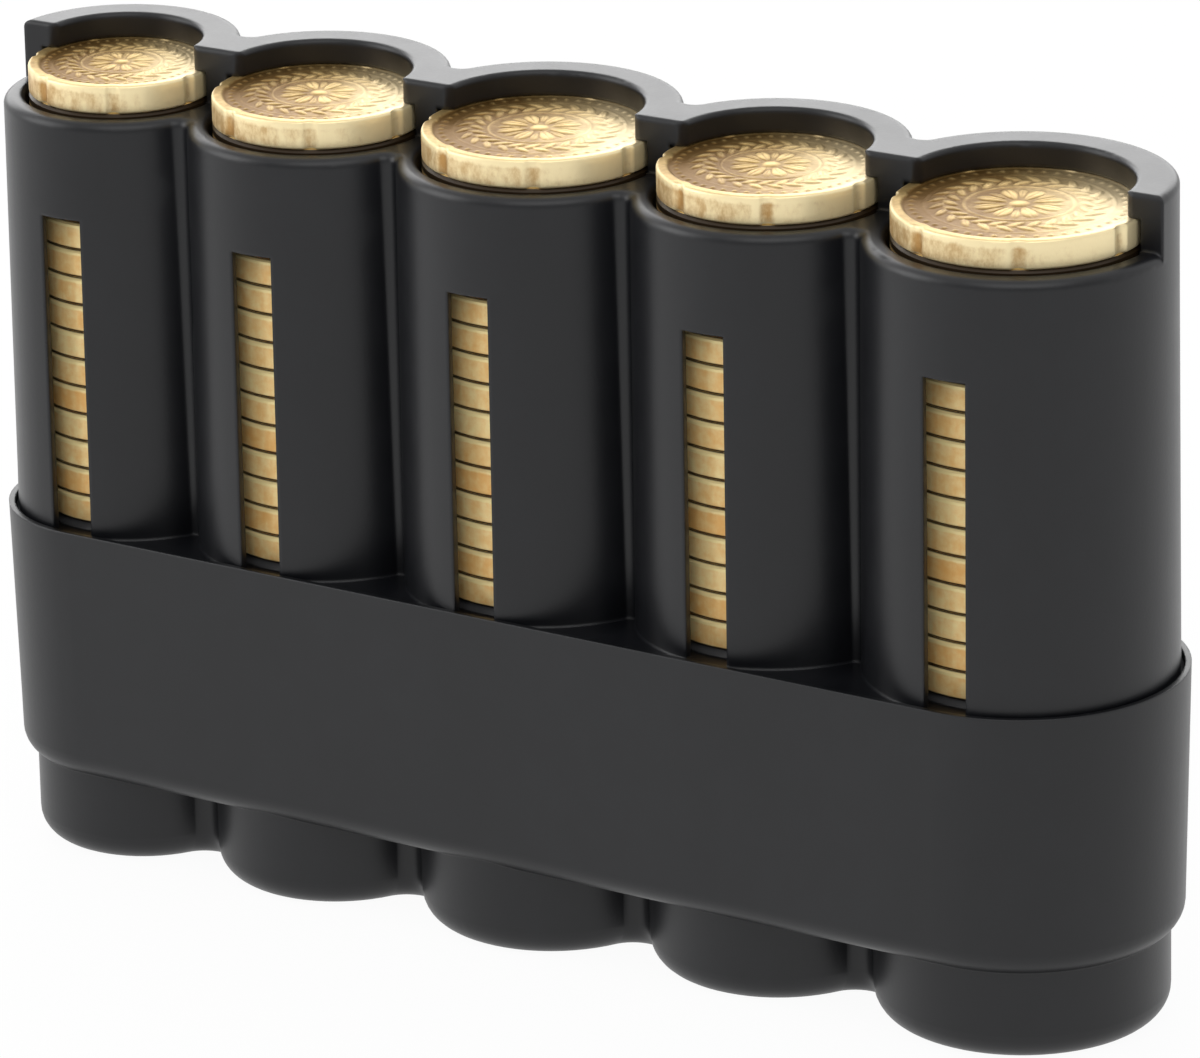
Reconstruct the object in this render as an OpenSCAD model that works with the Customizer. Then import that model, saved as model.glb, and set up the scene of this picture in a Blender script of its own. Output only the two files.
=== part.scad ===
// Five-tube coin holder and dispenser, in millimetres.
// X runs along the row of tubes, -Y is the front (the side the coins leave by), +Z is up.
// The origin lies on the table under the middle of the whole object.

/* [Coins] */
// Diameter of the coin in tube 1, the leftmost
coin_1_d = 19.75; // [16:0.05:22]
// Diameter of the coin in tube 2
coin_2_d = 22.25; // [18:0.05:25]
// Diameter of the coin in tube 3
coin_3_d = 24.25; // [20:0.05:27]
// Diameter of the coin in tube 4
coin_4_d = 23.25; // [20:0.05:27]
// Diameter of the coin in tube 5, the rightmost
coin_5_d = 25.75; // [22:0.05:29]
// Thickness of every coin
coin_t = 3.0; // [2:0.05:3.1]
// Coins in each tube below the top one
coins_below = 15; // [8:1:16]
// Air between one coin and the next
coin_gap = 0.04; // [0.02:0.01:0.08]
// Width of the raised rim on a coin's faces
coin_rim_w = 1.3; // [0.8:0.1:2]
// Height of that rim above the field
coin_rim_h = 0.2; // [0.1:0.05:0.3]
// Bevel along a coin's edges
coin_bevel = 0.3; // [0.2:0.05:0.4]
// Shallow notches round the edge of a top coin
coin_notches = 7; // [3:1:9]
// Depth of those notches
notch_depth = 0.3; // [0.15:0.05:0.45]
// Direction of a top coin's first notch, seen from above and counted from +X
coin_turn = -62; // [-180:1:180]

/* [Tube block] */
// Radial room between a coin and its bore
coin_play = 0.5; // [0.3:0.05:0.8]
// Wall round each bore
tube_wall = 2.2; // [1.8:0.1:3]
// Extra wall round the largest tube
last_wall_extra = 0.3; // [0:0.1:0.6]
// Plastic left between neighbouring bores
bore_web = 2.6; // [2.2:0.1:3.4]
// Height of the front rim above the table
rim_z = 83.1; // [78:0.5:100]
// Rounding of the rim's outer edge
rim_round = 1.0; // [0.5:0.1:1.4]
// Bevel at the mouth of each bore
mouth_bevel = 0.4; // [0.2:0.05:0.6]
// Radius of the concave fillet between neighbouring tubes
valley_r = 1.3; // [0.8:0.1:2]
// Growth of each tube's radius from the rim down to the flange (mould draft)
tube_draft = 0.3; // [0.1:0.05:0.5]

/* [Retaining lip] */
// Height of the coin slot between the rim and the lip
slot_h = 3.3; // [3.2:0.05:3.8]
// Thickness of the lip
lip_t = 2.6; // [2:0.1:3.5]
// How far the lip reaches over a coin's edge
lip_reach = 1.3; // [0.8:0.1:2.2]
// Distance of the lip's front face behind the tube centres
lip_front = 0.3; // [0.1:0.1:2]
// Rounding of the lip's front corners, seen from above
lip_corner_r = 1.2; // [0.5:0.1:1.8]
// Rounding of the lip's outer top edge
lip_edge_r = 0.8; // [0.3:0.1:1]
// Rounding of the top edge round each opening and along the front
lip_inner_r = 0.5; // [0.3:0.05:0.8]

/* [Windows] */
// Width of the window slot in the front of each tube
window_w = 4.8; // [3:0.1:6]
// Thickness of the wall round a window, thinned from inside so that coins show close behind it
window_skin = 0.7; // [0.6:0.05:1.2]
// How far that thin wall reaches past the window on each side
window_relief = 2.0; // [1.5:0.1:2.5]
// Distance from the rim down to the top of the windows
window_drop = 10.7; // [6:0.5:20]

/* [Lower housing] */
// Height of the skirt's upper edge above the table
skirt_top_z = 37.9; // [34:0.5:44]
// Height of the skirt's lower edge above the table
skirt_foot_z = 9.6; // [8:0.2:14]
// How far the skirt's upper edge stands out from the end tubes
skirt_head_out = 1.35; // [1.3:0.05:2]
// How far its lower edge stands out from them
skirt_foot_out = 0.8; // [0.7:0.05:1.2]
// Rounding of the skirt's lower edge
skirt_round = 2.8; // [1.5:0.1:3.5]
// Wall of the skirt at its lower edge
skirt_wall = 1.1; // [1:0.05:1.2]
// Thickness of the shelf inside the skirt
shelf_t = 1.8; // [1.4:0.1:2.6]
// How far each spring cup stands in from its tube
cup_inset = 0.66; // [0.4:0.02:0.9]
// Rounding of a spring cup's bottom edge
cup_round = 3.0; // [1.5:0.1:3.2]
// Radius of the concave fillet between neighbouring cups
cup_valley_r = 2.0; // [1:0.1:3]
// Thickness of a spring cup's floor
cup_floor = 1.8; // [1.4:0.1:3]

/* [Joint between block and housing] */
// Thickness of the flange at the foot of the tube block
flange_t = 2.0; // [1.5:0.1:3]
// Depth of the flange below the skirt's upper edge
flange_drop = 0.7; // [0.4:0.1:1.2]
// How far the flange stands out from the end tubes
flange_out = 0.55; // [0.45:0.05:0.6]
// Room between the flange's edge and the skirt
flange_play = 0.15; // [0.1:0.05:0.2]
// Wall of the tubes where they stand inside the skirt
spigot_wall = 1.0; // [0.9:0.05:1.1]

/* [Pushers and springs] */
// Radial room between a coin pusher and its bore
pusher_play = 0.35; // [0.3:0.05:0.6]
// Height of a coin pusher
pusher_h = 11; // [8:0.5:14]
// Thickness of a pusher's top
pusher_top_t = 1.8; // [1.2:0.1:3]
// Wall of a pusher's skirt
pusher_wall = 1.2; // [1:0.1:1.6]
// Bevel round a pusher's top
pusher_bevel = 0.6; // [0.3:0.1:0.8]
// Bevel at a pusher's foot
pusher_foot_bevel = 0.3; // [0.2:0.05:0.5]
// Diameter of the spring wire
wire_d = 0.8; // [0.6:0.1:1.2]
// Turns of each spring
spring_turns = 8; // [6:1:11]
// Room between a spring and the inside of its pusher
spring_play = 0.5; // [0.3:0.1:0.9]
// Room at each end of a spring
spring_end_play = 0.05; // [0.02:0.01:0.1]

/* [Display] */
// Sub-part to show

/* [Hidden] */
$fn = 64;

// The row: coin radius, bore, outside radius and place of each tube.
last = 4;
coin_r = [coin_1_d / 2, coin_2_d / 2, coin_3_d / 2, coin_4_d / 2, coin_5_d / 2];
bore_r = [for (r = coin_r) r + coin_play];
tube_r = [for (i = [0:last]) bore_r[i] + tube_wall + (i == last ? last_wall_extra : 0)];
cup_r = [for (r = tube_r) r - cup_inset];
pitch = [for (i = [0:last - 1]) bore_r[i] + bore_r[i + 1] + bore_web + (i == last - 1 ? last_wall_extra : 0)];
function along(i) = i == 0 ? 0 : along(i - 1) + pitch[i - 1];
row_l = along(last);
row_x0 = -(row_l + tube_r[last] - tube_r[0]) / 2;
tube_x = [for (i = [0:last]) row_x0 + along(i)];
lean = asin((tube_r[last] - tube_r[0]) / row_l); // the skirt's flat sides against the row

// Heights.
lip_under_z = rim_z + slot_h;
lip_top_z = lip_under_z + lip_t;
window_top_z = rim_z - window_drop;
flange_top_z = skirt_top_z - flange_drop;
flange_foot_z = flange_top_z - flange_t;
shelf_z = skirt_foot_z + shelf_t;
top_coin_z = lip_under_z - coin_gap - coin_t;
coin_pitch = coin_t + coin_gap;
stack_foot_z = top_coin_z - coins_below * coin_pitch;
pusher_top_z = stack_foot_z - coin_gap;
pusher_foot_z = pusher_top_z - pusher_h;
spring_top_z = pusher_top_z - pusher_top_t;

// Two surfaces that would only touch along a line cross by this much instead.
bite = 0.02;
over = 1;
far = 2 * row_l; // longer than the whole object

// ---- shared shapes ----

// Half section of a round post from z0 to z1, radius r0 below and r1 above, with rounded outer edges.
module post_section(r0, r1, z0, z1, round_foot, round_head) {
  za = z0 + round_foot;
  zb = z1 - round_head;
  polygon([[0, z0], [r0 - round_foot, z0], [r0 - round_foot, za], [r0, za],
           [r1, zb], [r1 - round_head, zb], [r1 - round_head, z1], [0, z1]]);
  if (round_foot > 0) translate([r0 - round_foot, za]) circle(r = round_foot);
  if (round_head > 0) translate([r1 - round_head, zb]) circle(r = round_head);
}

module post(r0, r1, z0, z1, round_foot = 0, round_head = 0)
  rotate_extrude() post_section(r0, r1, z0, z1, round_foot, round_head);

// Fills the cleft between posts of radius ra and rb, d apart, leaving a concave fillet of radius f.
module valley(ra, rb, d, f, z0, z1, round_foot = 0, round_head = 0) {
  a = ra + f - bite;
  b = rb + f - bite;
  fx = (d * d + a * a - b * b) / (2 * d);
  fy = sqrt(a * a - fx * fx);
  difference() {
    intersection() {
      translate([0, 0, z0 - over]) linear_extrude(z1 - z0 + 2 * over)
        polygon([[0, 0], [fx, -fy], [d, 0], [fx, fy]]);
      post(d + over, d + over, z0, z1);
    }
    for (s = [-1, 1]) translate([fx, s * fy, 0]) rotate_extrude() {
      translate([0, z0 - over]) square([f, z1 - z0 + 2 * over]);
      if (round_head > 0) difference() {
        translate([0, z1 - round_head]) square([f + round_head, round_head + over]);
        translate([f + round_head, z1 - round_head]) circle(r = round_head);
      }
      if (round_foot > 0) difference() {
        translate([0, z0 - over]) square([f + round_foot, round_foot + over]);
        translate([f + round_foot, z0 + round_foot]) circle(r = round_foot);
      }
    }
  }
}

// One layer of the row: five posts and the filled clefts between them.
module row_layer(radii, grow0, grow1, f, z0, z1, round_foot = 0, round_head = 0) {
  for (i = [0:last]) translate([tube_x[i], 0, 0])
    post(radii[i] + grow0, radii[i] + grow1, z0, z1, round_foot, round_head);
  for (i = [0:last - 1]) translate([tube_x[i], 0, 0])
    valley(radii[i] + grow1, radii[i + 1] + grow1, pitch[i], f, z0, z1, round_foot, round_head);
}

// Outline round the whole row, seen from above: round ends on the end tubes, straight sides touching both.
module long_outline(out) {
  for (i = [0, last]) translate([tube_x[i], 0]) circle(r = tube_r[i] + out);
  polygon([for (e = [[0, -1], [last, -1], [last, 1], [0, 1]])
    let (i = e[0], r = tube_r[i] + out - bite / 2)
    [tube_x[i] - r * sin(lean), e[1] * r * cos(lean)]]);
}

// Upright body of that outline.
module long_plate(out, z0, z1) translate([0, 0, z0]) linear_extrude(z1 - z0) long_outline(out);

// Body of that outline with drafted walls and a rounded lower edge. Its top is trimmed level by the caller.
module drafted_body(out0, out1, z0, z1, round_foot) {
  for (i = [0, last]) translate([tube_x[i], 0, 0])
    post(tube_r[i] + out0, tube_r[i] + out1, z0, z1, round_foot);
  for (m = [0, 1]) mirror([0, m, 0]) translate([tube_x[0], 0, 0]) rotate([0, 0, lean])
    rotate([90, 0, 90]) linear_extrude(row_l * cos(lean))
      union() {
        post_section(tube_r[0] + out0 - bite / 2, tube_r[0] + out1 - bite / 2, z0, z1, round_foot, 0);
        // past the middle, into the other side's half
        translate([-tube_r[0] / 2, z0]) square([tube_r[0], z1 - z0]);
      }
}

// Everything in front of the plane Y = y.
module front_space(y, z0, z1)
  translate([-far / 2, y - far, z0]) cube([far, far, z1 - z0]);

// ---- tube block ----

// Opening in the lip above one coin: round, with a rounded top edge and rounded front corners.
module lip_opening(i) {
  r = coin_r[i] - lip_reach;
  foot = lip_under_z - over;
  cy = lip_front + lip_corner_r - bite;
  cx = sqrt(pow(r + lip_corner_r - bite, 2) - cy * cy);
  rotate_extrude() {
    translate([0, foot]) square([r, lip_top_z + over - foot]);
    difference() {
      translate([0, lip_top_z + bite - lip_inner_r]) square([r + lip_inner_r, lip_inner_r + over]);
      translate([r + lip_inner_r, lip_top_z + bite - lip_inner_r]) circle(r = lip_inner_r);
    }
  }
  for (s = [0, 1]) mirror([s, 0, 0]) translate([0, 0, foot]) linear_extrude(lip_top_z + over - foot)
    difference() {
      polygon([[0, lip_front - over], [cx, lip_front - over], [cx, cy], [0, cy]]);
      translate([cx, cy]) circle(r = lip_corner_r);
    }
}

// The space behind the lip's front face, with that face's rounded top edge.
module lip_space(z0)
  translate([-far / 2, 0, 0]) rotate([90, 0, 90]) linear_extrude(far) {
    edge_z = lip_top_z + bite - lip_inner_r;
    translate([lip_front, z0]) square([far, edge_z - z0]);
    translate([lip_front + lip_inner_r, z0]) square([far, lip_top_z + over - z0]);
    translate([lip_front + lip_inner_r, edge_z]) circle(r = lip_inner_r);
  }

// Window through the front of one tube, and the shallow recess behind it.
module window(i) {
  h = window_top_z - flange_top_z;
  recess_w = window_w + 2 * window_relief;
  translate([-window_w / 2, -tube_r[i] - over, flange_top_z]) cube([window_w, tube_r[i] + over, h]);
  intersection() {
    translate([0, 0, flange_top_z]) cylinder(h = h + window_relief, r = tube_r[i] - window_skin);
    translate([-recess_w / 2, -tube_r[i], flange_top_z - over])
      cube([recess_w, tube_r[i], h + window_relief + 2 * over]);
  }
}

module tube_block() {
  back_foot_z = rim_z - rim_round; // the back wall starts here, below the rim's rounding
  color("#2b2c2e") difference() {
    union() {
      // drafted tubes with the rounded rim
      row_layer(tube_r, tube_draft, 0, valley_r, flange_top_z - flange_t / 2, rim_z, 0, rim_round);
      // back wall and lip
      intersection() {
        row_layer(tube_r, 0, 0, valley_r, back_foot_z, lip_top_z, 0, lip_edge_r);
        lip_space(back_foot_z - over);
      }
      // flange that closes the skirt, and the tubes' lower ends
      long_plate(flange_out, flange_foot_z, flange_top_z);
      for (i = [0:last]) translate([tube_x[i], 0, shelf_z])
        cylinder(h = flange_foot_z - shelf_z + flange_t / 4, r = bore_r[i] + spigot_wall);
    }
    for (i = [0:last]) translate([tube_x[i], 0, 0]) {
      translate([0, 0, shelf_z - over]) cylinder(h = lip_under_z - shelf_z + over, r = bore_r[i]);
      lip_opening(i);
      // bevelled mouth, on the front half only
      intersection() {
        translate([0, 0, rim_z - mouth_bevel])
          cylinder(h = 2 * mouth_bevel, r1 = bore_r[i], r2 = bore_r[i] + 2 * mouth_bevel);
        front_space(-bite, rim_z - over, rim_z + over);
      }
      window(i);
    }
  }
}

// ---- lower housing ----

module lower_housing() {
  color("#323335") difference() {
    union() {
      drafted_body(skirt_foot_out, skirt_head_out, skirt_foot_z, skirt_top_z + over, skirt_round);
      row_layer(cup_r, 0, 0, cup_valley_r, 0, skirt_foot_z + over, cup_round, 0);
    }
    // level top edge
    translate([-far / 2, -far / 2, skirt_top_z]) cube([far, far, 2 * over]);
    // room for the flange, and below it for the tubes' lower ends
    long_plate(flange_out + flange_play, flange_foot_z, skirt_top_z + over);
    long_plate(skirt_foot_out - skirt_wall, shelf_z, flange_foot_z + over);
    for (i = [0:last]) translate([tube_x[i], 0, 0]) {
      translate([0, 0, shelf_z])
        cylinder(h = flange_foot_z - shelf_z + over, r = bore_r[i] + spigot_wall + flange_play);
      // spring cup
      translate([0, 0, cup_floor]) cylinder(h = shelf_z - cup_floor + over, r = bore_r[i]);
    }
  }
}

// ---- moving pieces ----

// Coil spring as a closed sweep of a round wire.
module coil(r, z0, z1) {
  per_turn = 16;
  steps = spring_turns * per_turn;
  sides = 6;
  rise = (z1 - z0 - wire_d) / steps;
  pts = [for (k = [0:steps]) for (j = [0:sides - 1])
    let (a = 360 / per_turn * k, t = 360 * j / sides, q = r + wire_d / 2 * cos(t))
    [q * cos(a), q * sin(a), z0 + wire_d / 2 + rise * k + wire_d / 2 * sin(t)]];
  faces = concat(
    [[for (j = [0:sides - 1]) j]],
    [for (k = [0:steps - 1]) for (j = [0:sides - 1])
      let (n = (j + 1) % sides, p = k * sides)
      [p + j, p + sides + j, p + sides + n, p + n]],
    [[for (j = [sides - 1:-1:0]) steps * sides + j]]);
  polyhedron(points = pts, faces = faces, convexity = 10);
}

module spring(i) {
  r = bore_r[i] - pusher_play - pusher_wall - spring_play - wire_d / 2;
  color("#9aa0a6") translate([tube_x[i], 0, 0])
    coil(r, cup_floor + spring_end_play, spring_top_z - spring_end_play);
}

// Inverted cup that carries the coins on its top and takes the spring inside.
module coin_pusher(i) {
  r = bore_r[i] - pusher_play;
  color("#3c3d40") translate([tube_x[i], 0, 0]) rotate_extrude() polygon([
    [0, spring_top_z], [r - pusher_wall, spring_top_z], [r - pusher_wall, pusher_foot_z],
    [r - pusher_foot_bevel, pusher_foot_z], [r, pusher_foot_z + 2 * pusher_foot_bevel],
    [r, pusher_top_z - pusher_bevel], [r - pusher_bevel, pusher_top_z], [0, pusher_top_z]]);
}

// Half section of a coin: sunk fields inside a raised rim, bevelled edges.
module coin_section(r) {
  e = coin_bevel;
  field_r = r - coin_rim_w;
  polygon([[0, coin_rim_h], [field_r, coin_rim_h], [field_r + coin_rim_h, 0], [r - e, 0], [r, e],
           [r, coin_t - e], [r - e, coin_t], [field_r + coin_rim_h, coin_t],
           [field_r, coin_t - coin_rim_h], [0, coin_t - coin_rim_h]]);
}

module coin_stack(i)
  color("#b8965f") for (k = [0:coins_below - 1]) translate([tube_x[i], 0, stack_foot_z + k * coin_pitch])
    rotate_extrude() coin_section(coin_r[i]);

module top_coin(i) {
  notch_r = coin_r[i] * 0.12;
  color("#d8bb7e") translate([tube_x[i], 0, top_coin_z]) difference() {
    rotate_extrude() coin_section(coin_r[i]);
    for (k = [0:coin_notches - 1]) rotate([0, 0, 360 * k / coin_notches + coin_turn])
      translate([coin_r[i] + notch_r - notch_depth, 0, -over]) cylinder(h = coin_t + 2 * over, r = notch_r);
  }
}

tube_block();
lower_housing();
spring(0);  // spring_1
spring(1);  // spring_2
spring(2);  // spring_3
spring(3);  // spring_4
spring(4);  // spring_5
coin_pusher(0);  // coin_pusher_1
coin_pusher(1);  // coin_pusher_2
coin_pusher(2);  // coin_pusher_3
coin_pusher(3);  // coin_pusher_4
coin_pusher(4);  // coin_pusher_5
coin_stack(0);  // coin_stack_1
coin_stack(1);  // coin_stack_2
coin_stack(2);  // coin_stack_3
coin_stack(3);  // coin_stack_4
coin_stack(4);  // coin_stack_5
top_coin(0);  // top_coin_1
top_coin(1);  // top_coin_2
top_coin(2);  // top_coin_3
top_coin(3);  // top_coin_4
top_coin(4);  // top_coin_5
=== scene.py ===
"""Looks of a five-tube coin holder: moulded black plastic, struck brass coins, soft studio."""
import math

import bpy
import numpy as np
from mathutils import Matrix, Vector


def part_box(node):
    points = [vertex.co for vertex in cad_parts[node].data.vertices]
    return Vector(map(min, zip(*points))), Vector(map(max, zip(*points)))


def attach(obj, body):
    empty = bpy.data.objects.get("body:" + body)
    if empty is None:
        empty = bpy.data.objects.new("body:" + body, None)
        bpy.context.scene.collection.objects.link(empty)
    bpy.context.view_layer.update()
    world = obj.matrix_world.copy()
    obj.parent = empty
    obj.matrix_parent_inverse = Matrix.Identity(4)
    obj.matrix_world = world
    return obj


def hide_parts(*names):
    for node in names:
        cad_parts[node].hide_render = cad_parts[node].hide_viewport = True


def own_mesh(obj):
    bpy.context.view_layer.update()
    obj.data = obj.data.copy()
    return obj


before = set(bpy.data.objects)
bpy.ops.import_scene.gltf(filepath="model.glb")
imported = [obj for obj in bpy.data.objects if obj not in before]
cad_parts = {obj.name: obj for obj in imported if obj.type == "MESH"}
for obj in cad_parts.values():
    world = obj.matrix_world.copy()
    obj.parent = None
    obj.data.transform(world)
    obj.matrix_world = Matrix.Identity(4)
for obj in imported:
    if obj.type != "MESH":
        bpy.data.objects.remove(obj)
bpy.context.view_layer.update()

MM = 0.001
TUBES = (1, 2, 3, 4, 5)
COINS_IN_STACK, COIN_GAP = 15, 0.04  # coins below the top one, and the gap between two of them in mm


# ---- how finishes are written ----

class Value:
    """A socket in a finish, so that shader maths reads as plain maths."""

    def __init__(self, finish, socket):
        self.finish = finish
        self.socket = socket

    def maths(self, operation, *values):
        inputs = dict(enumerate(values))
        return self.finish.node("ShaderNodeMath", {"operation": operation}, inputs)

    def __add__(self, other):
        return self.maths("ADD", self, other)

    def __sub__(self, other):
        return self.maths("SUBTRACT", self, other)

    def __rsub__(self, other):
        return self.maths("SUBTRACT", other, self)

    def __mul__(self, other):
        return self.maths("MULTIPLY", self, other)

    def __truediv__(self, other):
        return self.maths("DIVIDE", self, other)

    __radd__ = __add__
    __rmul__ = __mul__

    def floor(self):
        return self.maths("FLOOR", self)

    def ramp(self, start, end, low=0.0, high=1.0):
        """low up to start, high from end, and a smooth step between."""
        settings = {"interpolation_type": "SMOOTHSTEP"}
        inputs = {"Value": self, "From Min": start, "From Max": end, "To Min": low, "To Max": high}
        return self.finish.node("ShaderNodeMapRange", settings, inputs)


class Finish:
    """One surface finish: a material, its nodes and its shader."""

    def __init__(self, name, **constants):
        self.material = bpy.data.materials.new(name)
        self.material.use_nodes = True
        self.start(self.material.node_tree, "ShaderNodeOutputMaterial")
        self.shader = self.tree.nodes.new("ShaderNodeBsdfPrincipled")
        self.surface(**constants)
        self.painted = Value(self, self.shader.outputs[0])
        self.show(self.painted)

    def start(self, tree, output):
        self.tree = tree
        tree.nodes.clear()
        self.output = tree.nodes.new(output)

    def show(self, shader):
        """Send a shader to the output, in place of the one before."""
        self.tree.links.new(shader.socket, self.output.inputs[0])

    def feed(self, node, inputs):
        for name, value in inputs.items():
            socket = node.inputs[name]
            if isinstance(value, Value):
                self.tree.links.new(value.socket, socket)
            else:
                socket.default_value = value

    def node(self, kind, settings=None, inputs=None, out=0):
        node = self.tree.nodes.new(kind)
        for name, value in (settings or {}).items():
            setattr(node, name, value)
        self.feed(node, inputs or {})
        return Value(self, node.outputs[out])

    def surface(self, **inputs):
        self.feed(self.shader, {key.replace("_", " "): value for key, value in inputs.items()})

    def paths(self, *kinds):
        """1 for a ray of any of those kinds, 0 for other rays."""
        ray = self.tree.nodes.new("ShaderNodeLightPath")
        values = [Value(self, ray.outputs[kind]) for kind in kinds]
        return sum(values[1:], values[0])

    def place(self):
        """Position in the piece's own frame, in metres."""
        return self.node("ShaderNodeTexCoord", out="Object")

    def survey(self, mark):
        """A value that the piece's mesh holds for each of its points."""
        return self.node("ShaderNodeAttribute", {"attribute_name": mark}, out="Fac")

    def dot(self, one, other):
        settings = {"operation": "DOT_PRODUCT"}
        return self.node("ShaderNodeVectorMath", settings, {0: one, 1: other}, out="Value")

    def z_of(self, vector):
        return self.node("ShaderNodeSeparateXYZ", {}, {0: vector}, out="Z")

    def noise(self, grain_mm, detail=2.0, stretch=(1, 1, 1), roughness=0.5):
        """Noise from 0 to 1 with grains of about that size."""
        place = self.node("ShaderNodeVectorMath", {"operation": "MULTIPLY"}, {0: self.place(), 1: stretch})
        inputs = {"Vector": place, "Scale": 1 / (grain_mm * MM), "Detail": detail, "Roughness": roughness}
        return self.node("ShaderNodeTexNoise", {}, inputs)

    def blend(self, share, low, high):
        """low where share is 0, high where it is 1; each a colour or another blend."""
        low, high = (end if isinstance(end, Value) else (*end, 1) for end in (low, high))
        return self.node("ShaderNodeMix", {"data_type": "RGBA"}, {"Factor": share, 6: low, 7: high}, out=2)

    def bump(self, height_mm, under=None):
        """A normal from a height in millimetres, on top of another normal if one is given."""
        inputs = {"Height": height_mm, "Distance": MM, "Strength": 1.0}
        if under is not None:
            inputs["Normal"] = under
        return self.node("ShaderNodeBump", {}, inputs)


# ---- finishes ----

def moulded_plastic(name, dark, light, roughness, edge_mm):
    """Semi-matt moulded plastic: faint flow marks, a fine grain, soft and slightly polished edges."""
    finish = Finish(name, Specular_IOR_Level=0.44, IOR=1.5)
    rounded = finish.node("ShaderNodeBevel", {"samples": 6}, {"Radius": edge_mm * MM})
    flat = finish.node("ShaderNodeNewGeometry", out="Normal")
    edge = (1 - finish.dot(rounded, flat)).ramp(0.01, 0.2)
    flow = finish.noise(14, detail=3, stretch=(1, 1, 0.35))
    patches = finish.noise(3.5, detail=3)
    grain = finish.noise(0.35)
    shade = (flow * 0.5 + patches * 0.3 + edge * 0.35).ramp(0.25, 0.85)
    finish.surface(
        Base_Color=finish.blend(shade, dark, light),
        Roughness=patches * 0.05 + flow * 0.05 + grain * 0.04 - edge * 0.06 + (roughness - 0.07),
        Normal=finish.bump(grain * 0.006 + patches * 0.008 + flow * 0.05, under=rounded),
    )
    return finish.material


def struck_brass(name, low, high, painted_light_pale, edge_low, edge_high):
    """Coin metal: browner in the hollows, bright on the high points, and with painted light that makes it
    palest towards one side.
    """
    finish = Finish(name, Specular_IOR_Level=0.25)
    relief, painted_light, edge = finish.survey("relief"), finish.survey("painted_light"), finish.survey("edge")
    patches = finish.noise(2.6, detail=4)
    specks = finish.noise(0.5, detail=3)
    hairs = finish.noise(0.5, stretch=(1, 0.05, 1)) + finish.noise(0.5, stretch=(0.06, 1, 1))
    # painted light: the face is brighter and paler towards one side of the coin, as if lit from there
    shine = (relief * 0.6 + patches * 0.6 + specks * 0.35 + painted_light * 0.85).ramp(0.62, 1.6)
    face = finish.blend((painted_light + patches * 0.2).ramp(0.55, 1.15), finish.blend(shine, low, high), painted_light_pale)
    stains = finish.noise(1.1, detail=5, stretch=(1, 1, 0.6), roughness=0.65)
    # the edge colour is lighter where it is free of stains, on high relief, and towards the painted light
    clean_and_painted_light = (painted_light * 0.7 + stains * 1.2 + relief * 1.2).ramp(0.95, 1.75)
    finish.surface(
        Base_Color=finish.blend(edge, face, finish.blend(clean_and_painted_light, edge_low, edge_high)),
        Metallic=0.85 - edge * 0.35,
        Roughness=0.42 - shine * 0.08 + hairs * 0.04,
        Normal=finish.bump(hairs * 0.008 + specks * 0.018 + patches * 0.03),
    )
    return finish.material


def coin_edge_brass(name, low, high, grime_and_painted_shade, foot_z, pitch, count):
    """Edges of stacked coins: each has its own tone, a painted highlight on its upper corner, blotches and
    dirt in the joints.
    Painted shade darkens the top of the column, just inside the rim."""
    finish = Finish(name, Metallic=0.25, Specular_IOR_Level=0.3)
    lie = finish.z_of(finish.node("ShaderNodeTexCoord", out="Normal"))
    upright = 1 - (lie * lie).ramp(0.5, 0.9)
    level = (finish.z_of(finish.place()) - foot_z) / pitch
    number = level.floor()
    up = level - number
    # painted highlight: a lighter band along the upper corner of each coin
    corner = up.ramp(0.76, 0.86)
    joint = 1 - up.ramp(0.04, 0.13) * up.ramp(0.93, 0.98, low=1, high=0)
    # painted shade: the uppermost coin of the column is darkened where it sits just inside the rim
    painted_shade_at_column_top = level.ramp(count - 0.36, count - 0.28)
    tone = finish.node("ShaderNodeTexWhiteNoise", {"noise_dimensions": "1D"}, {"W": number})
    marks = finish.noise(0.7, detail=3, stretch=(1, 1, 0.15))
    blotches = finish.noise(1.3, detail=4, roughness=0.6)
    shine = (tone * 0.22 + marks * 0.25 + blotches * 0.6 + corner * 0.35).ramp(0.28, 0.85)
    finish.surface(
        Base_Color=finish.blend((joint + painted_shade_at_column_top) * upright, finish.blend(shine, low, high), grime_and_painted_shade),
        Roughness=0.46 - shine * 0.1,
        Normal=finish.bump(marks * 0.012 + blotches * 0.03),
    )
    return finish.material


def drawn_steel(name, low, high):
    """Spring wire with faint draw marks."""
    finish = Finish(name, Metallic=1.0)
    marks = finish.noise(0.4, detail=3, stretch=(1, 1, 0.2))
    finish.surface(
        Base_Color=finish.blend(marks, low, high),
        Roughness=0.3 + marks * 0.15,
        Normal=finish.bump(marks * 0.004),
    )
    return finish.material


def pale_floor(name, low, high, glow, mirrored):
    """White table top that keeps a faint shadow. glow is how far the camera sees it as plain white, and
    mirrored is the share of that glow that shiny surfaces see."""
    finish = Finish(name, Roughness=0.6, Specular_IOR_Level=0.2)
    finish.surface(Base_Color=finish.blend(finish.noise(60), low, high))
    seen = finish.paths("Is Camera Ray") + finish.paths("Is Glossy Ray", "Is Transmission Ray") * mirrored
    white = finish.node("ShaderNodeEmission", {}, {"Color": (1, 1, 1, 1), "Strength": 1.0})
    finish.show(finish.node("ShaderNodeMixShader", {}, {0: seen * glow, 1: finish.painted, 2: white}))
    return finish.material


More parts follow.
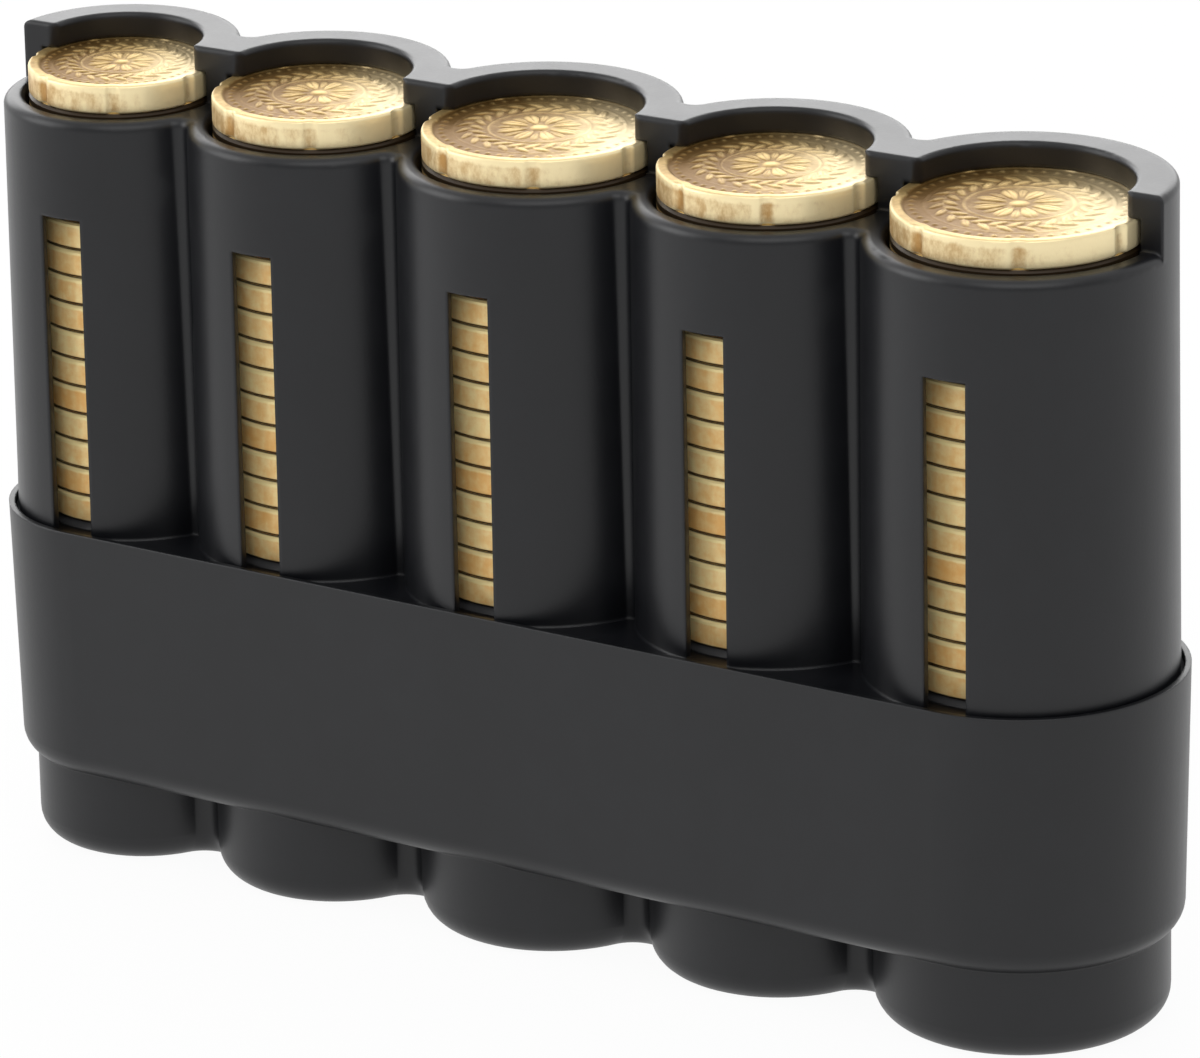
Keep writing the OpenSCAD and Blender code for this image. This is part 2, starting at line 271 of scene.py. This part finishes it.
class Sky(Finish):
    """The studio around the object: white to the camera, paler behind the object than in front of it."""

    BACKWARDS = (-0.52, 0.85, 0)

    def __init__(self, front, back, fill):
        world = bpy.data.worlds.new("studio")
        world.use_nodes = True
        bpy.context.scene.world = world
        self.start(world.node_tree, "ShaderNodeOutputWorld")
        seen, mirrored = self.paths("Is Camera Ray"), self.paths("Is Glossy Ray", "Is Transmission Ray")
        depth = self.dot(self.node("ShaderNodeTexCoord", out="Generated"), self.BACKWARDS)
        room = depth.ramp(-0.9, 0.35, low=front, high=back)
        level = seen + mirrored * room + (1 - seen - mirrored) * fill
        self.show(self.node("ShaderNodeBackground", {}, {"Color": (1, 1, 1, 1), "Strength": level}))


# ---- making pieces ----

def new_piece(name, points, faces, material):
    """A smooth-shaded object of one material, from points in metres."""
    mesh = bpy.data.meshes.new(name)
    mesh.from_pydata(points, [], faces)
    mesh.polygons.foreach_set("use_smooth", [True] * len(mesh.polygons))
    mesh.materials.append(material)
    piece = bpy.data.objects.new(name, mesh)
    bpy.context.scene.collection.objects.link(piece)
    return piece


def stand_in(piece, node, body):
    """Put a piece in the place of a solid, on the body that carries it."""
    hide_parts(node)
    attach(piece, body)


def round_solid(node):
    """Middle of the foot of an upright round solid, in metres, and its radius and height, in mm."""
    low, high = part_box(node)
    middle = (low + high) / 2
    return np.array([middle.x, middle.y, low.z]), (high.x - low.x) / 2 / MM, (high.z - low.z) / MM


# ---- coins: sizes in mm ----

AROUND = 384  # points in each ring of a coin
FIELD_RINGS, RIM_RINGS, EDGE_RINGS = 58, 9, 5
INNERMOST = 0.15  # radius of the first ring
RIM_BAND = 1.5  # width of the band with the rim's own rings
RIM_W, RIM_H, RIM_FLANK = 1.3, 0.2, 0.4  # RIM_FLANK is how wide the rim's inner slope is
EDGE_R = 0.3  # rounding of both corners of the edge
NOTCHES, NOTCH_DEEP = 7, 0.3
NOTCH_SHARE = 0.12  # a notch's radius as a share of the coin's
NOTCH_REACH, NOTCH_FADE = 2.2, 2.0  # how far in a notch draws the face, and over what width it fades
FIRST_NOTCH = math.radians(-62)
PAINTED_LIGHT_FROM = (0.86, 0.51)  # direction from which painted light makes the coins paler

# How bright wear leaves each part, on the scale of the relief, and how much painted shade each mm of a notch
# puts on the side.
TOP_CORNER, SIDE, FOOT_CORNER, FOOT, BUTTON = 0.9, 0.55, 0.7, 0.3, 0.85
NOTCH_PAINTED_SHADE = 0.9

# The struck design. Places are shares of the coin's radius. Lengths and widths are measured from the
# middle of each form, for a coin of radius DESIGN_R, and grow with the coin. Heights are the same on all.
DESIGN_R = 12
BEADS, BEAD_R, BEAD_H = 48, 0.34, 0.12
BEAD_INSET = 0.75  # from the rim's foot to the middle of the beads
RINGS = ((0.735, 0.1, 0.05), (0.587, 0.13, 0.07), (0.43, 0.16, 0.08))  # place, width and height
BUTTON_R, BUTTON_H = 0.95, 0.17
LEAVES = 24
LEAF_PLACES = ((-1, 0.53), (1, 0.645))  # side of the wreath's stem and place
LEAF_LEAN, LEAF_STAGGER = 0.75, 0.25  # angle off the stem, and how far the two sides are apart along it
LEAF = {"length": 1.15, "width": 0.42, "taper": -0.35, "vein": 0.45, "vein_w": 0.16, "height": 0.15}
PETALS = 16
LONG_PETAL = {"place": 0.235, "length": 1.6, "width": 0.72, "height": 0.16}
SHORT_PETAL = {"place": 0.255, "length": 1.25, "width": 0.4, "height": 0.1}
PETAL = {"taper": 0.4, "vein": 0.4, "vein_w": 0.2}


def smooth(t):
    t = np.clip(t, 0, 1)
    return t * t * (3 - 2 * t)


def dome(d):
    """1 in the middle of a raised form, 0 from its outline on; d is the distance in half widths."""
    return np.sqrt(np.clip(1 - d * d, 0, 1))


def from_nearest(turn, count):
    """How far each angle is from the nearest of that many places, spread evenly round the coin."""
    step = 2 * math.pi / count
    return (turn + step / 2) % step - step / 2


def coin_relief(r, turn, radius):
    """Height above the field round one ring of the coin: rim, beads, rings, a leaf wreath and a rosette."""
    size = radius / DESIGN_R
    x, y = r * np.cos(turn), r * np.sin(turn)
    relief = RIM_H * smooth((r - radius + RIM_W + RIM_FLANK / 4) / RIM_FLANK) + 0 * turn

    def raise_to(form):
        np.maximum(relief, form, out=relief)

    def raise_blade(place, at, tilt, length, width, taper, vein, vein_w, height):
        """A leaf or petal that narrows towards one end, with a groove along its middle."""
        dx, dy = x - place * radius * math.cos(at), y - place * radius * math.sin(at)
        u = (dx * math.cos(tilt) + dy * math.sin(tilt)) / (length * size)
        v = (dy * math.cos(tilt) - dx * math.sin(tilt)) / (width * size)
        blade = dome(np.hypot(u, v / np.clip(1 + taper * u, 0.5, 1.5)))
        raise_to(height * blade * (1 - vein * np.exp(-((v / vein_w) ** 2))))

    bead_at = radius - RIM_W - BEAD_INSET * size
    raise_to(BEAD_H * dome(np.hypot(r - bead_at, from_nearest(turn, BEADS) * bead_at) / (BEAD_R * size)))
    for place, width, ring_h in RINGS:
        raise_to(ring_h * dome((r - place * radius) / (width * size)))
    for k in range(LEAVES):
        for side, place in LEAF_PLACES:
            at = 2 * math.pi * (k + LEAF_STAGGER * side) / LEAVES
            raise_blade(place, at, at + math.pi / 2 - side * LEAF_LEAN, **LEAF)
    for k in range(PETALS):
        at = 2 * math.pi * k / PETALS
        raise_blade(at=at, tilt=at, **(SHORT_PETAL if k % 2 else LONG_PETAL), **PETAL)
    raise_to(BUTTON_H * dome(r / (BUTTON_R * size)))
    return relief


def notch_depth(turn, radius):
    """How far the shallow round notches draw the outline in at each angle."""
    notch_r = radius * NOTCH_SHARE
    centre = radius + notch_r - NOTCH_DEEP
    off = from_nearest(turn - FIRST_NOTCH, NOTCHES)
    inside = np.clip(notch_r**2 - (centre * np.sin(off)) ** 2, 0, None)
    cut = centre * np.cos(off) - np.sqrt(inside)
    return radius - np.where(inside > 0, np.minimum(cut, radius), radius)


def coin_points(radius, thick):
    """Rings of points from the middle of the upper face, over the edge, to the middle of the lower face,
    and then those two middles. With them come each point's relief, 0 in a hollow and 1 on a high point,
    and its edge, 1 on the coin's edge and 0 on its faces."""
    turn = np.arange(AROUND) * 2 * math.pi / AROUND
    drawn_in = notch_depth(turn, radius)
    rings, relief, edge = [], [], []

    def add_ring(r, z, mark, edge_mark=0.0):
        """r is the radius before the notches draw it in."""
        r = r - drawn_in * smooth((r - radius + NOTCH_REACH) / NOTCH_FADE)
        rings.append(np.stack([r * np.cos(turn), r * np.sin(turn), z + 0 * turn], 1))
        relief.append(mark + 0 * turn)
        edge.append(edge_mark + 0 * turn)

    field, corner_r = thick - RIM_H, radius - EDGE_R
    inner = np.linspace(INNERMOST, radius - RIM_BAND - 0.1, FIELD_RINGS)
    outer = np.linspace(radius - RIM_BAND, corner_r, RIM_RINGS)
    for r in (*inner, *outer):
        h = coin_relief(r, turn, radius)
        add_ring(r, field + h, h / RIM_H)
    corner = np.linspace(0, math.pi / 2, EDGE_RINGS)[1:]
    for a in corner:
        r, z = corner_r + EDGE_R * math.sin(a), thick - EDGE_R + EDGE_R * math.cos(a)
        add_ring(r, z, TOP_CORNER, edge_mark=math.sin(a))
    for z in np.linspace(thick - EDGE_R, EDGE_R, EDGE_RINGS)[1:]:
        # painted shade: the side is darker where a notch draws it in
        add_ring(radius, z, SIDE - NOTCH_PAINTED_SHADE * drawn_in, edge_mark=1.0)
    for a in corner:
        add_ring(corner_r + EDGE_R * math.cos(a), EDGE_R - EDGE_R * math.sin(a), FOOT_CORNER, edge_mark=1.0)
    rim_foot = radius - RIM_W
    for r, z in ((rim_foot + 0.2, 0.02), (rim_foot - 0.1, RIM_H), (radius / 2, RIM_H), (0.2, RIM_H)):
        add_ring(r, z, FOOT)
    points = np.concatenate(rings + [[[0, 0, field + BUTTON_H], [0, 0, RIM_H]]])
    return points, np.concatenate(relief + [[BUTTON, FOOT]]), np.concatenate(edge + [[0.0, 0.0]])


def coin_faces(rings):
    """Quads between neighbouring rings, and a fan to each of the two middles."""
    here = np.arange(AROUND)
    there = (here + 1) % AROUND
    last, top_middle, foot_middle = (rings - 1) * AROUND, rings * AROUND, rings * AROUND + 1
    faces = []
    for a in range(0, last, AROUND):
        b = a + AROUND
        faces += np.stack([a + here, b + here, b + there, a + there], 1).tolist()
    pairs = list(zip(here.tolist(), there.tolist()))
    faces += [(top_middle, a, b) for a, b in pairs]
    faces += [(foot_middle, last + b, last + a) for a, b in pairs]
    return faces


def struck_coin(number, brass):
    """The coin under one lip, struck with a plain wreath and rosette on its upper face."""
    foot, radius, thick = round_solid(f"top_coin_{number}")
    points, relief, edge = coin_points(radius, thick)
    # painted light: a share from 0 to 1 across the coin, highest towards the side it seems lit from
    painted_light = 0.5 + 0.5 * (points[:, :2] @ PAINTED_LIGHT_FROM) / radius
    faces = coin_faces(len(points) // AROUND)
    coin = new_piece(f"struck_coin_{number}", (points * MM + foot).tolist(), faces, brass)
    for mark, values in (("relief", relief), ("edge", edge), ("painted_light", painted_light)):
        attribute = coin.data.attributes.new(mark, "FLOAT", "POINT")
        attribute.data.foreach_set("value", values.astype(np.float32))
    stand_in(coin, f"top_coin_{number}", f"loose_coin_{number}")


# ---- springs: sizes in mm ----

SPRING_TURNS, DEAD_TURNS, WIRE_R = 8, 0.75, 0.4
RINGS_PER_TURN, WIRE_SIDES = 44, 10
DEAD_PITCH = 2.1 * WIRE_R  # the closed end turns lie just clear of each other


def wound_spring(number, steel):
    """The coil under one pusher, with closed end turns."""
    foot, coil_r, tall = round_solid(f"spring_{number}")
    coil_r -= WIRE_R
    rings, sides = RINGS_PER_TURN * SPRING_TURNS, WIRE_SIDES
    turned = np.linspace(0, SPRING_TURNS, rings + 1)
    dead = DEAD_TURNS * DEAD_PITCH
    stops = (0, DEAD_TURNS, SPRING_TURNS - DEAD_TURNS, SPRING_TURNS)
    height = np.interp(turned, stops, (WIRE_R, WIRE_R + dead, tall - WIRE_R - dead, tall - WIRE_R))
    a, t = np.meshgrid(2 * math.pi * turned, 2 * math.pi * np.arange(sides) / sides, indexing="ij")
    out = coil_r + WIRE_R * np.cos(t)
    points = np.stack([out * np.cos(a), out * np.sin(a), height[:, None] + WIRE_R * np.sin(t)], 2)
    faces = []
    for k in range(0, rings * sides, sides):
        for j in range(sides):
            beside = (j + 1) % sides
            faces.append([k + j, k + sides + j, k + sides + beside, k + beside])
    faces += [list(range(sides)), [rings * sides + j for j in reversed(range(sides))]]
    spring = new_piece(f"wound_spring_{number}", (points.reshape(-1, 3) * MM + foot).tolist(), faces, steel)
    stand_in(spring, f"spring_{number}", "holder")
    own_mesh(spring)


# ---- finishes on the pieces ----

def paint(node, material):
    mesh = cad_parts[node].data
    mesh.materials.clear()
    mesh.materials.append(material)


tube_plastic = moulded_plastic(
    "black_tube_plastic",
    dark=(0.003, 0.0033, 0.0046),
    light=(0.0085, 0.0092, 0.0115),
    roughness=0.35,
    edge_mm=0.55,
)
housing_plastic = moulded_plastic(
    "black_housing_plastic",
    dark=(0.0032, 0.0035, 0.0047),
    light=(0.0085, 0.0092, 0.0113),
    roughness=0.38,
    edge_mm=0.3,
)
pusher_plastic = moulded_plastic(
    "pusher_plastic",
    dark=(0.04, 0.04, 0.042),
    light=(0.07, 0.07, 0.073),
    roughness=0.5,
    edge_mm=0.3,
)
stack_foot, _, stack_tall = round_solid("coin_stack_1")
edge_brass = coin_edge_brass(
    "coin_edge_brass",
    low=(0.88, 0.48, 0.145),
    high=(1.0, 0.81, 0.4),
    # dark brown for dirt in the joints and for the painted shade at the top of the column
    grime_and_painted_shade=(0.03, 0.018, 0.008),
    foot_z=stack_foot[2],
    pitch=(stack_tall + COIN_GAP) * MM / COINS_IN_STACK,
    count=COINS_IN_STACK,
)
coin_brass = struck_brass(
    "coin_brass",
    low=(0.22, 0.12, 0.032),
    high=(0.78, 0.56, 0.23),
    painted_light_pale=(0.82, 0.68, 0.43),
    edge_low=(0.5, 0.28, 0.09),
    edge_high=(1.0, 0.84, 0.5),
)
spring_steel = drawn_steel("spring_steel", low=(0.38, 0.39, 0.41), high=(0.6, 0.61, 0.63))

paint("tube_block", tube_plastic)
paint("lower_housing", housing_plastic)
for number in TUBES:
    paint(f"coin_pusher_{number}", pusher_plastic)
    paint(f"coin_stack_{number}", edge_brass)
    struck_coin(number, coin_brass)
    wound_spring(number, spring_steel)


# ---- studio: sizes in metres ----

def floor_disc(radius, sides, material):
    turn = np.linspace(0, 2 * math.pi, sides, endpoint=False)
    ring = np.stack([radius * np.cos(turn), radius * np.sin(turn), 0 * turn], 1)
    new_piece("floor", ring.tolist(), [list(range(sides))], material)


def softbox(name, place, aim, width, height, radiance):
    """A flat soft light that shows in reflections as a panel of that brightness."""
    light = bpy.data.lights.new(name, "AREA")
    light.shape = "RECTANGLE"
    light.size, light.size_y = width, height
    light.energy = radiance * math.pi * width * height
    lamp = bpy.data.objects.new(name, light)
    bpy.context.scene.collection.objects.link(lamp)
    lamp.location = place
    lamp.rotation_euler = (Vector(aim) - Vector(place)).to_track_quat("-Z", "Y").to_euler()
    lamp.visible_camera = False


def camera_at(place, azimuth, elevation, roll, lens):
    """A camera that looks along +Y, turned to the left by azimuth, down by elevation and about its own
    axis by roll, all in degrees."""
    data = bpy.data.cameras.new("camera")
    data.sensor_width = 36.0
    data.sensor_fit = "HORIZONTAL"
    data.lens = lens
    data.clip_start = 0.01
    camera = bpy.data.objects.new("camera", data)
    bpy.context.scene.collection.objects.link(camera)
    stand = Matrix.Translation(place)
    for angle, axis in ((azimuth, "Z"), (90 - elevation, "X"), (roll, "Z")):
        stand = stand @ Matrix.Rotation(math.radians(angle), 4, axis)
    camera.matrix_world = stand
    bpy.context.scene.camera = camera


floor_white = pale_floor(
    "pale_floor",
    low=(0.84, 0.84, 0.84),
    high=(0.88, 0.88, 0.88),
    glow=0.95,
    mirrored=0.9,
)
floor_disc(radius=3.0, sides=96, material=floor_white)
Sky(front=0.5, back=1.05, fill=0.65)
softbox("left_softbox", place=(-0.55, -0.35, 0.35), aim=(0, 0, 0.05), width=0.45, height=0.5, radiance=2.5)
softbox("back_softbox", place=(-0.5, 0.7, 0.38), aim=(0, 0, 0.08), width=1.2, height=0.45, radiance=2.5)
softbox("front_softbox", place=(0.3, -0.45, 0.72), aim=(0, 0, 0.05), width=0.8, height=0.6, radiance=1.5)
camera_at(place=(0.44454, -0.72382, 0.34680), azimuth=31.415, elevation=19.670, roll=-1.194, lens=260.96)
bpy.context.scene.view_settings.view_transform = "Standard"
